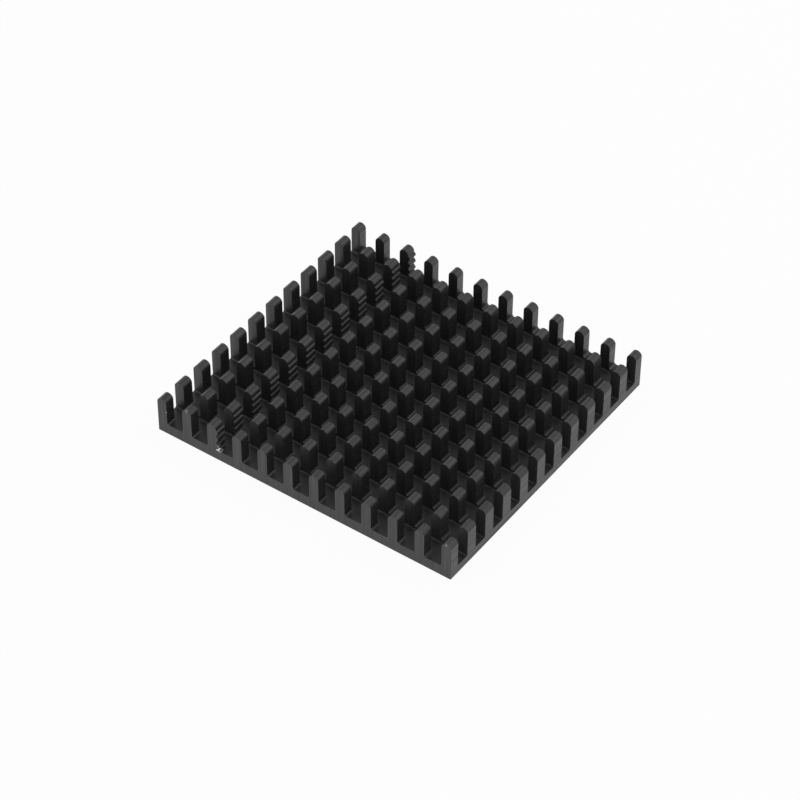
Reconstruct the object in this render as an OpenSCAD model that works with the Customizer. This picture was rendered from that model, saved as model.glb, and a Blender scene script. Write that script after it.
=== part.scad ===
// Low cross-cut pin fin heat sink, in millimetres.
//
// A bar is extruded with round-topped fins on a flat base and sawn to length. A gang of
// saws then cuts across the fins, a little deeper than the channels between them, which
// leaves rows of flat-ended pins. One fin has teeth down one side for a clip to bite on.
//
// X runs across the fins, Y along the extrusion and Z up. The origin is the middle of
// the underside.

/* [Overall size] */
// Width across the fins
sink_w = 50.8; // [44:0.1:70]
// Length along the extrusion, from sawn end to sawn end
sink_l = 48.2; // [20:0.1:100]
// Height from the underside to the top of the fins
sink_h = 6.35; // [5.8:0.05:20]

/* [Extruded bar] */
// Thickness of the base under the channels
base_t = 1.8; // [1.2:0.05:2]
// Number of fins across the width
fin_count = 12; // [4:1:14]
// Thickness of a fin, which is also the diameter of its round top
fin_t = 1.6; // [1:0.05:2]
// Fillet where a fin meets the channel floor
root_r = 0.4; // [0.1:0.05:0.5]

/* [Toothed fin] */
// Which fin has the teeth, counted from the -X side
toothed_fin = 3; // [1:1:3]
// Number of teeth, one above the other
tooth_count = 3; // [1:1:3]
// How far a tooth stands out from the side of the fin
tooth_h = 0.3; // [0.1:0.05:0.4]
// Width of a tooth at its foot, up the side of the fin
tooth_w = 0.85; // [0.8:0.05:1]
// Spacing of the teeth up the fin
tooth_pitch = 1.23; // [1.05:0.01:1.3]
// Height of the middle of the lowest tooth above the channel floor
tooth_z = 0.75; // [0.6:0.05:0.9]

/* [Cross cuts] */
// Length of the first row of pins, from the front end to the first cut
first_row_l = 1.65; // [1:0.05:6]
// Spacing of the cuts
cut_pitch = 4.27; // [3:0.01:8]
// Width of a cut
cut_w = 2.32; // [0.8:0.01:2.4]
// How far a cut goes below the channel floor
cut_extra = 0.4; // [0.05:0.05:0.6]
// Corner radius at the bottom of a cut
cut_r = 0.25; // [0.05:0.05:0.35]
// Shortest pin that is left whole at the back end
last_row_min = 1; // [0.5:0.1:2]

/* [Hidden] */
$fn = 48;
aluminium_black = [0.09, 0.09, 0.095];

fin_pitch = (sink_w - fin_t) / (fin_count - 1);
fin_r = fin_t / 2;
// A tooth is the tip of a circle that stands tooth_h proud over a chord of tooth_w.
tooth_r = (pow(tooth_w / 2, 2) + pow(tooth_h, 2)) / (2 * tooth_h);
// The saws keep their spacing, so the last row is what the length leaves over.
cut_count = floor((sink_l - first_row_l - cut_w - last_row_min) / cut_pitch) + 1;
cut_floor_z = base_t - cut_extra;
// The cutters run this far past the solid on every open side.
clear = 1;

// Left edge of fin i, counted from 0 at the -X side.
function fin_x(i) = -sink_w / 2 + i * fin_pitch;
// Front edge of cut j, counted from 0 at the -Y side.
function cut_y(j) = -sink_l / 2 + first_row_l + j * cut_pitch;

// One fin in section, from the underside to its round top.
module fin_section() {
    square([fin_t, sink_h - fin_r]);
    translate([fin_r, sink_h - fin_r]) circle(r = fin_r);
}

// The hollow fillet at the foot of a fin, to the right of x = 0.
module root_fillet() {
    difference() {
        square(root_r);
        translate([root_r, root_r]) circle(r = root_r);
    }
}

// The column of rounded teeth on the side of a fin at x = 0.
module teeth_section() {
    for (k = [0 : tooth_count - 1])
        translate([tooth_h - tooth_r, base_t + tooth_z + k * tooth_pitch])
            circle(r = tooth_r);
}

// The whole bar in section: base, fins, fillets and teeth.
module bar_section() {
    translate([-sink_w / 2, 0]) square([sink_w, base_t]);
    for (i = [0 : fin_count - 1])
        translate([fin_x(i), 0]) fin_section();
    for (i = [0 : fin_count - 2]) {
        translate([fin_x(i) + fin_t, base_t]) root_fillet();
        translate([fin_x(i + 1), base_t]) mirror([1, 0]) root_fillet();
    }
    translate([fin_x(toothed_fin - 1) + fin_t, 0]) teeth_section();
}

// One saw cut in section, with its floor at y = 0 and slightly round corners.
module cut_section() {
    translate([cut_r, 0]) square([cut_w - 2 * cut_r, cut_r]);
    for (x = [cut_r, cut_w - cut_r])
        translate([x, cut_r]) circle(r = cut_r);
    translate([0, cut_r]) square([cut_w, sink_h - cut_floor_z - cut_r + clear]);
}

// A saw cut right across the fins.
module cross_cut() {
    rotate([90, 0, 90])
        translate([0, cut_floor_z, -sink_w / 2 - clear])
            linear_extrude(sink_w + 2 * clear) cut_section();
}

module heat_sink() {
    color(aluminium_black)
    difference() {
        translate([0, sink_l / 2, 0])
            rotate([90, 0, 0]) linear_extrude(sink_l) bar_section();
        for (j = [0 : cut_count - 1])
            translate([0, cut_y(j), 0]) cross_cut();
    }
}

heat_sink();
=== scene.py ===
import math

import bpy
import bmesh
from mathutils import Matrix, Vector


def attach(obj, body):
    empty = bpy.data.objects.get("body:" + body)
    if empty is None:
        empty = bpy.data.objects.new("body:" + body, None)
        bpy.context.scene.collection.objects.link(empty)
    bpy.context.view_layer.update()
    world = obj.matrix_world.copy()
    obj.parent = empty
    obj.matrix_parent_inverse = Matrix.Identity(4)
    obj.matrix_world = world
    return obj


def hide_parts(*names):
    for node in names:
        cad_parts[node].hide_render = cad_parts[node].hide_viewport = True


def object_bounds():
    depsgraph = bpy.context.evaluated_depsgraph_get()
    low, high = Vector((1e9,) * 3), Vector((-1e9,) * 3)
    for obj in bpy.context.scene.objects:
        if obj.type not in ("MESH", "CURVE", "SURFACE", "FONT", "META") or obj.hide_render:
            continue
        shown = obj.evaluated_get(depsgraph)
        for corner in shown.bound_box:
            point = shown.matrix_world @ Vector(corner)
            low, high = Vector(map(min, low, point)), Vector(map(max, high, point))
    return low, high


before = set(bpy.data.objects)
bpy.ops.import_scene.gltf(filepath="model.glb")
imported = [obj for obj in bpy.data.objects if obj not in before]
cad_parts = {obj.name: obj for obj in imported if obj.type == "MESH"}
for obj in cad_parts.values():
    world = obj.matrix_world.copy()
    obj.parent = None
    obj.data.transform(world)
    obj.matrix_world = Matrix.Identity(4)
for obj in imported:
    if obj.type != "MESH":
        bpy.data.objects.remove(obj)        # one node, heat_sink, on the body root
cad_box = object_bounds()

# The extruded bar
# Aluminium pressed hot through a die: a flat base with round-topped fins that run its
# whole length. One fin carries a column of small teeth, which a spring clip bites on.
# Sizes are in millimetres up to the finished mesh.
MM = 0.001
low, high = (corner / MM for corner in cad_box)
sink_w = high.x - low.x
sink_l = high.y - low.y
sink_h = high.z - low.z
base_t = 1.8
fin_count = 12
fin_t = 1.6
root_r = 0.4
toothed_fin = 2
tooth_count = 3
tooth_h = 0.3
tooth_w = 0.85
tooth_pitch = 1.23
tooth_z = 0.75
tip_steps = 20
root_steps = 6
tooth_steps = 8

fin_pitch = (sink_w - fin_t) / (fin_count - 1)
tooth_r = (tooth_w ** 2 / 4 + tooth_h ** 2) / (2 * tooth_h)


def arc(x, z, radius, start, end, steps):
    """Points on an arc in the bar's section, from one angle to the other, in degrees."""
    angles = [math.radians(start + (end - start) * i / steps) for i in range(steps + 1)]
    return [(x + radius * math.cos(a), z + radius * math.sin(a)) for a in angles]


def fin_outline(i):
    """Fin i from the foot of its -X side, over its round top and down its +X side."""
    left = low.x + i * fin_pitch
    right = left + fin_t
    points = []
    if i > 0:
        points += arc(left - root_r, base_t + root_r, root_r, -90, 0, root_steps)
    points += arc(left + fin_t / 2, high.z - fin_t / 2, fin_t / 2, 180, 0, tip_steps)
    if i == toothed_fin:
        half_angle = math.degrees(math.asin(tooth_w / 2 / tooth_r))
        for k in reversed(range(tooth_count)):
            z = base_t + tooth_z + k * tooth_pitch
            points += arc(right + tooth_h - tooth_r, z, tooth_r, half_angle, -half_angle, tooth_steps)
    if i < fin_count - 1:
        points += arc(right + root_r, base_t + root_r, root_r, 180, 270, root_steps)
    return points


def bar_section():
    """The section of the bar as one flat face across the front end."""
    outline = [(low.x, low.z)]
    for i in range(fin_count):
        outline += fin_outline(i)
    outline.append((high.x, low.z))
    section = bmesh.new()
    corners = [section.verts.new((x, low.y, z)) for x, z in outline]
    section.faces.new(corners)
    mesh = bpy.data.meshes.new("bar_section")
    section.to_mesh(mesh)
    section.free()
    return mesh


# The saw cuts
# The bar is sawn to length, and a gang of saws then cuts across the fins, a little deeper
# than the channels. What is left of each fin is a row of pins.
first_row = 1.65
cut_pitch = 4.27
cut_w = 2.32
cut_depth = 0.4
cut_r = 0.25
cut_count = 11
corner_steps = 5
weld = 0.0005          # points closer than this are one
overrun = 1.2          # how far a saw runs across, as a share of the bar's width
end_tilt = 0.9         # a face whose normal has more of Y than this is a sawn end
edge_r = 0.05
edge_angle = 35        # sharper edges than this are broken after the saws


def node(tree, kind, inputs=None, **settings):
    """A node of that kind, with its settings and the values or links of its inputs."""
    made = tree.nodes.new(kind)
    for name, value in settings.items():
        setattr(made, name, value)
    for name, value in (inputs or {}).items():
        socket = made.inputs[name]
        if isinstance(value, bpy.types.NodeSocket):
            tree.links.new(value, socket)
        else:
            socket.default_value = value
    return made


def maths(tree, operation, a, b):
    """The result of a Math node on two values or links."""
    return node(tree, "ShaderNodeMath", {0: a, 1: b}, operation=operation).outputs[0]


def solid_from_face():
    """A tree that draws a flat face out along a vector into a closed solid."""
    tree = bpy.data.node_groups.new("solid from face", "GeometryNodeTree")
    tree.interface.new_socket("Face", in_out="INPUT", socket_type="NodeSocketGeometry")
    tree.interface.new_socket("Draw", in_out="INPUT", socket_type="NodeSocketVector")
    tree.interface.new_socket("Solid", in_out="OUTPUT", socket_type="NodeSocketGeometry")
    given = tree.nodes.new("NodeGroupInput").outputs
    drawn = node(tree, "GeometryNodeExtrudeMesh", {
        "Mesh": given["Face"], "Offset": given["Draw"], "Offset Scale": 1.0, "Individual": False,
    })
    back = node(tree, "GeometryNodeFlipFaces", {"Mesh": given["Face"]})
    both = tree.nodes.new("GeometryNodeJoinGeometry")
    tree.links.new(drawn.outputs["Mesh"], both.inputs[0])
    tree.links.new(back.outputs["Mesh"], both.inputs[0])
    closed = node(tree, "GeometryNodeMergeByDistance", {
        "Geometry": both.outputs[0], "Distance": weld,
    })
    tree.links.new(closed.outputs[0], tree.nodes.new("NodeGroupOutput").inputs["Solid"])
    return tree


def gang_saw(solid):
    """A tree that draws the bar out to its length and takes the saw cuts out of it."""
    tree = bpy.data.node_groups.new("gang saw", "GeometryNodeTree")
    sizes = {
        "Length": "NodeSocketFloat", "Width": "NodeSocketFloat", "First cut": "NodeSocketFloat",
        "Cut pitch": "NodeSocketFloat", "Cut width": "NodeSocketFloat",
        "Cut floor": "NodeSocketFloat", "Corner radius": "NodeSocketFloat",
        "Cut count": "NodeSocketInt",
        "Drawn finish": "NodeSocketMaterial", "Sawn finish": "NodeSocketMaterial",
    }
    tree.interface.new_socket("Section", in_out="INPUT", socket_type="NodeSocketGeometry")
    for name, kind in sizes.items():
        tree.interface.new_socket(name, in_out="INPUT", socket_type=kind)
    tree.interface.new_socket("Heat sink", in_out="OUTPUT", socket_type="NodeSocketGeometry")
    given = tree.nodes.new("NodeGroupInput").outputs

    def vector(**parts):
        return node(tree, "ShaderNodeCombineXYZ", parts).outputs[0]

    bar = node(tree, "GeometryNodeGroup", {
        "Face": given["Section"], "Draw": vector(Y=given["Length"]),
    }, node_tree=solid)
    bar = node(tree, "GeometryNodeSetMaterial", {
        "Geometry": bar.outputs[0], "Material": given["Drawn finish"],
    })

    # One blade's cut in section, taller than the fins, with round corners.
    cut_height = 2 * sink_h
    blade = node(tree, "GeometryNodeCurvePrimitiveQuadrilateral", {
        "Width": given["Cut width"], "Height": cut_height,
    })
    blade = node(tree, "GeometryNodeFilletCurve", {
        "Curve": blade.outputs[0], "Count": corner_steps, "Radius": given["Corner radius"],
    }, mode="POLY")
    blade = node(tree, "GeometryNodeFillCurve", {"Curve": blade.outputs[0]}, mode="NGONS")
    reach = maths(tree, "MULTIPLY", given["Width"], overrun)
    cut = node(tree, "GeometryNodeGroup", {
        "Face": blade.outputs[0], "Draw": vector(Z=reach),
    }, node_tree=solid)
    # The blade stands up across the bar, with one side of its cut at Y = 0.
    cut = node(tree, "GeometryNodeTransform", {
        "Geometry": cut.outputs[0],
        "Rotation": (math.pi / 2, 0, math.pi / 2),
        "Translation": vector(
            X=maths(tree, "MULTIPLY", reach, -0.5),
            Y=maths(tree, "MULTIPLY", given["Cut width"], 0.5),
            Z=maths(tree, "ADD", given["Cut floor"], cut_height / 2)),
    })
    places = node(tree, "GeometryNodeMeshLine", {
        "Count": given["Cut count"],
        "Start Location": vector(Y=given["First cut"]),
        "Offset": vector(Y=given["Cut pitch"]),
    })
    cuts = node(tree, "GeometryNodeInstanceOnPoints", {
        "Points": places.outputs[0], "Instance": cut.outputs[0],
    })
    cuts = node(tree, "GeometryNodeRealizeInstances", {"Geometry": cuts.outputs[0]})
    cuts = node(tree, "GeometryNodeSetMaterial", {
        "Geometry": cuts.outputs[0], "Material": given["Sawn finish"],
    })
    sawn = node(tree, "GeometryNodeMeshBoolean", {
        "Mesh 1": bar.outputs[0], "Mesh 2": cuts.outputs[0],
    }, operation="DIFFERENCE", solver="MANIFOLD")

    # The two ends of the bar were sawn too: they are the faces that look along Y.
    normal = tree.nodes.new("GeometryNodeInputNormal").outputs[0]
    facing = node(tree, "ShaderNodeSeparateXYZ", {"Vector": normal})
    along_bar = maths(tree, "ABSOLUTE", facing.outputs["Y"], 0.0)
    whole = node(tree, "GeometryNodeRealizeInstances", {"Geometry": sawn.outputs[0]})
    finished = node(tree, "GeometryNodeSetMaterial", {
        "Geometry": whole.outputs[0],
        "Selection": maths(tree, "GREATER_THAN", along_bar, end_tilt),
        "Material": given["Sawn finish"],
    })
    tree.links.new(finished.outputs[0], tree.nodes.new("NodeGroupOutput").inputs[0])
    return tree


# The black finish
# Black anodising, a few hundredths of a millimetre thick. It follows what lies under it:
# fine lines along the drawn surfaces and upright streaks where the saws went through.
# Colours are red, green, blue and alpha, and grain is counted in grains to the millimetre.
black = (0.013, 0.013, 0.0134, 1)
grey_black = (0.033, 0.033, 0.0322, 1)
bare_metal = (0.92, 0.91, 0.89, 1)
metal_in_specks = 0.22         # a speck is only rubbed thin, and a chip is down to the metal
pore_grain = (6.0, 6.0, 6.0)
cloud_grain = (0.16, 0.16, 0.16)
ragged_grain = (5.0, 5.0, 5.0)
rim_raggedness = 0.45
rim_softness = 0.15
pore_dullness = 0.06
pore_depth = 0.5               # as a share of the relief
relief = 0.008
chip_places = [
    # x, y and z of a place where the black has come off, and its reach each way, in mm
    (-14.44, -24.0, 1.88, 0.46, 0.50, 0.19),
    (-14.50, -23.9, 2.62, 0.20, 0.35, 0.15),
]
speck_places = [
    (-23.85, -24.1, 4.05, 0.10, 0.15, 0.16),
    (-20.12, -24.0, 6.28, 0.17, 0.26, 0.16),
    (24.55, -24.0, 6.15, 0.20, 0.22, 0.18),
]


def grain(tree, place, per_mm, detail=2.0):
    """Noise whose grains come so many to the millimetre along X, Y and Z."""
    fitted = node(tree, "ShaderNodeVectorMath", {
        0: place, 1: tuple(n / MM for n in per_mm),
    }, operation="MULTIPLY")
    noise = node(tree, "ShaderNodeTexNoise", {
        "Vector": fitted.outputs[0], "Scale": 1.0, "Detail": detail, "Roughness": 0.6,
    })
    return noise.outputs[0]


def spread(tree, value, low_in, high_in, low_out=0.0, high_out=1.0):
    """A value stretched from one range to another, and held inside it."""
    made = node(tree, "ShaderNodeMapRange", {
        "Value": value, "From Min": low_in, "From Max": high_in,
        "To Min": low_out, "To Max": high_out,
    })
    return made.outputs[0]


def worn_spots(tree, place, places, ragged):
    """1 in any of the places, 0 elsewhere, with a ragged rim."""
    total = None
    for spot in places:
        middle = tuple(n * MM for n in spot[:3])
        reach = tuple(n * MM for n in spot[3:])
        away = node(tree, "ShaderNodeVectorMath", {0: place, 1: middle}, operation="SUBTRACT")
        scaled = node(tree, "ShaderNodeVectorMath", {
            0: away.outputs[0], 1: reach,
        }, operation="DIVIDE")
        length = node(tree, "ShaderNodeVectorMath", {0: scaled.outputs[0]}, operation="LENGTH")
        rim = maths(tree, "ADD", length.outputs["Value"], ragged)
        inside = spread(tree, rim, 1 + rim_softness, 1 - rim_softness)
        total = inside if total is None else maths(tree, "MAXIMUM", total, inside)
    return total


def mixed_colour(tree, share, first, second):
    """A colour between two colours or links. A Mix node's colour sockets have no names of
    their own, so they are found by number."""
    mix = node(tree, "ShaderNodeMix", {0: share, 6: first, 7: second}, data_type="RGBA")
    return mix.outputs[2]


def anodised(name, lines_per_mm, line_depth, gloss, rough, shine):
    """Black anodised aluminium with lines in it and a few small places worn bare."""
    material = bpy.data.materials.new(name)
    material.use_nodes = True
    tree = material.node_tree
    shader = tree.nodes["Principled BSDF"]
    shader.inputs["IOR"].default_value = 1.5
    shader.inputs["Specular IOR Level"].default_value = shine
    place = tree.nodes.new("ShaderNodeTexCoord").outputs["Object"]
    lines = spread(tree, grain(tree, place, lines_per_mm, 3.0), 0.38, 0.62)
    pores = grain(tree, place, pore_grain, 3.0)
    clouds = grain(tree, place, cloud_grain)
    ragged = spread(tree, grain(tree, place, ragged_grain), 0.3, 0.7,
                    -rim_raggedness, rim_raggedness)

    # The lines are paler than what lies between them, less so in pores and in darker clouds.
    pale = maths(tree, "MULTIPLY", lines, spread(tree, pores, 0.35, 0.65, 0.45, 1.0))
    pale = maths(tree, "MULTIPLY", pale, spread(tree, clouds, 0.3, 0.7, 0.6, 1.0))
    skin = mixed_colour(tree, pale, black, grey_black)
    bare = worn_spots(tree, place, chip_places, ragged)
    specks = worn_spots(tree, place, speck_places, ragged)
    worn = maths(tree, "MAXIMUM", bare, maths(tree, "MULTIPLY", specks, metal_in_specks))
    tree.links.new(mixed_colour(tree, worn, skin, bare_metal), shader.inputs["Base Color"])
    tree.links.new(bare, shader.inputs["Metallic"])

    dull = maths(tree, "ADD", spread(tree, lines, 0.0, 1.0, rough, gloss),
                 spread(tree, pores, 0.3, 0.7, -pore_dullness, pore_dullness))
    tree.links.new(dull, shader.inputs["Roughness"])
    height = maths(tree, "ADD", maths(tree, "MULTIPLY", lines, line_depth),
                   maths(tree, "MULTIPLY", pores, pore_depth))
    bump = node(tree, "ShaderNodeBump", {
        "Height": height, "Strength": 1.0, "Distance": relief * MM,
    })
    tree.links.new(bump.outputs[0], shader.inputs["Normal"])
    return material


def set_inputs(modifier, values):
    """Sets a Geometry Nodes modifier's inputs, each found by the name of its socket."""
    for item in modifier.node_group.interface.items_tree:
        if item.item_type == "SOCKET" and item.name in values:
            modifier[item.identifier] = values[item.name]


drawn_finish = anodised("drawn, black anodised", lines_per_mm=(2.8, 0.05, 2.8), line_depth=1.2,
                        gloss=0.26, rough=0.44, shine=0.53)
sawn_finish = anodised("sawn, black anodised", lines_per_mm=(3.2, 3.2, 0.10), line_depth=1.0,
                       gloss=0.34, rough=0.50, shine=0.70)

blank = bpy.data.objects.new("blank", bar_section())
bpy.context.scene.collection.objects.link(blank)
saw = blank.modifiers.new("saw", "NODES")
saw.node_group = gang_saw(solid_from_face())
set_inputs(saw, {
    "Length": sink_l, "Width": sink_w, "First cut": low.y + first_row,
    "Cut pitch": cut_pitch, "Cut width": cut_w, "Cut floor": base_t - cut_depth,
    "Corner radius": cut_r, "Cut count": cut_count,
    "Drawn finish": drawn_finish, "Sawn finish": sawn_finish,
})
edges = blank.modifiers.new("edges", "BEVEL")
edges.width = edge_r
edges.segments = 2
edges.limit_method = "ANGLE"
edges.angle_limit = math.radians(edge_angle)
edges.harden_normals = True

evaluated = blank.evaluated_get(bpy.context.evaluated_depsgraph_get())
mesh = bpy.data.meshes.new_from_object(evaluated)
mesh.transform(Matrix.Scale(MM, 4))
mesh.materials.pop(index=0)      # the bare section's own slot, which no face uses
mesh.name = "pin_fin_body"
bpy.data.objects.remove(blank)
heat_sink = bpy.data.objects.new("pin_fin_body", mesh)
bpy.context.scene.collection.objects.link(heat_sink)

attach(heat_sink, "root")
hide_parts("heat_sink")

# Floor, light and camera
# A sheet of white paper in a light tent, with one softbox behind the heat sink and to its
# right. The floor lies a hair below the base, so that the two never share a plane.
floor_reach = 3
floor_gap = 0.02
floor_mesh = bpy.data.meshes.new("floor")
floor_mesh.from_pydata(
    [(-floor_reach, -floor_reach, 0), (floor_reach, -floor_reach, 0),
     (floor_reach, floor_reach, 0), (-floor_reach, floor_reach, 0)],
    [], [(0, 1, 2, 3)])
floor = bpy.data.objects.new("floor", floor_mesh)
floor.location.z = -floor_gap * MM
bpy.context.scene.collection.objects.link(floor)


def paper_white(seen_share, mirrored_share):
    """White paper. Part of what the camera and gloss see of it is plain white, and the rest
    is lit paper, which keeps the shadow."""
    material = bpy.data.materials.new("white paper")
    material.use_nodes = True
    tree = material.node_tree
    tree.nodes.clear()
    path = tree.nodes.new("ShaderNodeLightPath").outputs
    mirrored = maths(tree, "MAXIMUM", path["Is Glossy Ray"], path["Is Transmission Ray"])
    part = maths(tree, "ADD", maths(tree, "MULTIPLY", path["Is Camera Ray"], seen_share),
                 maths(tree, "MULTIPLY", mirrored, mirrored_share))
    sheet = node(tree, "ShaderNodeBsdfDiffuse", {"Color": (0.9, 0.9, 0.9, 1)})
    white = node(tree, "ShaderNodeEmission", {"Strength": 1.0})
    mixed = node(tree, "ShaderNodeMixShader", {
        0: part, 1: sheet.outputs[0], 2: white.outputs[0],
    })
    output = tree.nodes.new("ShaderNodeOutputMaterial")
    tree.links.new(mixed.outputs[0], output.inputs[0])
    return material


floor_mesh.materials.append(paper_white(seen_share=0.95, mirrored_share=0.6))

# The tent is white all round, and a little dimmer overhead.
overhead = 0.56
world = bpy.data.worlds.new("tent")
world.use_nodes = True
bpy.context.scene.world = world
sky = world.node_tree
way = sky.nodes.new("ShaderNodeTexCoord").outputs["Generated"]
way_up = node(sky, "ShaderNodeSeparateXYZ", {"Vector": way}).outputs["Z"]
background = sky.nodes["Background"]
background.inputs["Color"].default_value = (1, 1, 1, 1)
sky.links.new(spread(sky, way_up, 0.15, 0.9, 1.0, overhead), background.inputs["Strength"])

lamp_data = bpy.data.lights.new("softbox", "AREA")
lamp_data.shape = "SQUARE"
lamp_data.size = 0.45
lamp_data.energy = 0.36
softbox = bpy.data.objects.new("softbox", lamp_data)
softbox.location = (0.19, 0.30, 0.35)
softbox.rotation_mode = "QUATERNION"
softbox.rotation_quaternion = (-softbox.location).to_track_quat("-Z", "Y")
bpy.context.scene.collection.objects.link(softbox)

# The camera looks down from the front right, tilted by a fraction of a degree.
azimuth, elevation, roll = (math.radians(degrees) for degrees in (35.23, 43.05, 0.40))
distance = 0.4354
aim = Vector((-0.00099, 0.00104, 0))
back = Vector((
    math.sin(azimuth) * math.cos(elevation),
    -math.cos(azimuth) * math.cos(elevation),
    math.sin(elevation),
))
camera_data = bpy.data.cameras.new("camera")
camera_data.lens = 135.4
camera_data.sensor_width = 36
camera_data.clip_start = 0.01
camera = bpy.data.objects.new("camera", camera_data)
camera.location = aim + back * distance
camera.rotation_mode = "QUATERNION"
tilt = Matrix.Rotation(roll, 3, "Z").to_quaternion()
camera.rotation_quaternion = (-back).to_track_quat("-Z", "Y") @ tilt
bpy.context.scene.collection.objects.link(camera)
bpy.context.scene.camera = camera
bpy.context.scene.view_settings.view_transform = "Standard"
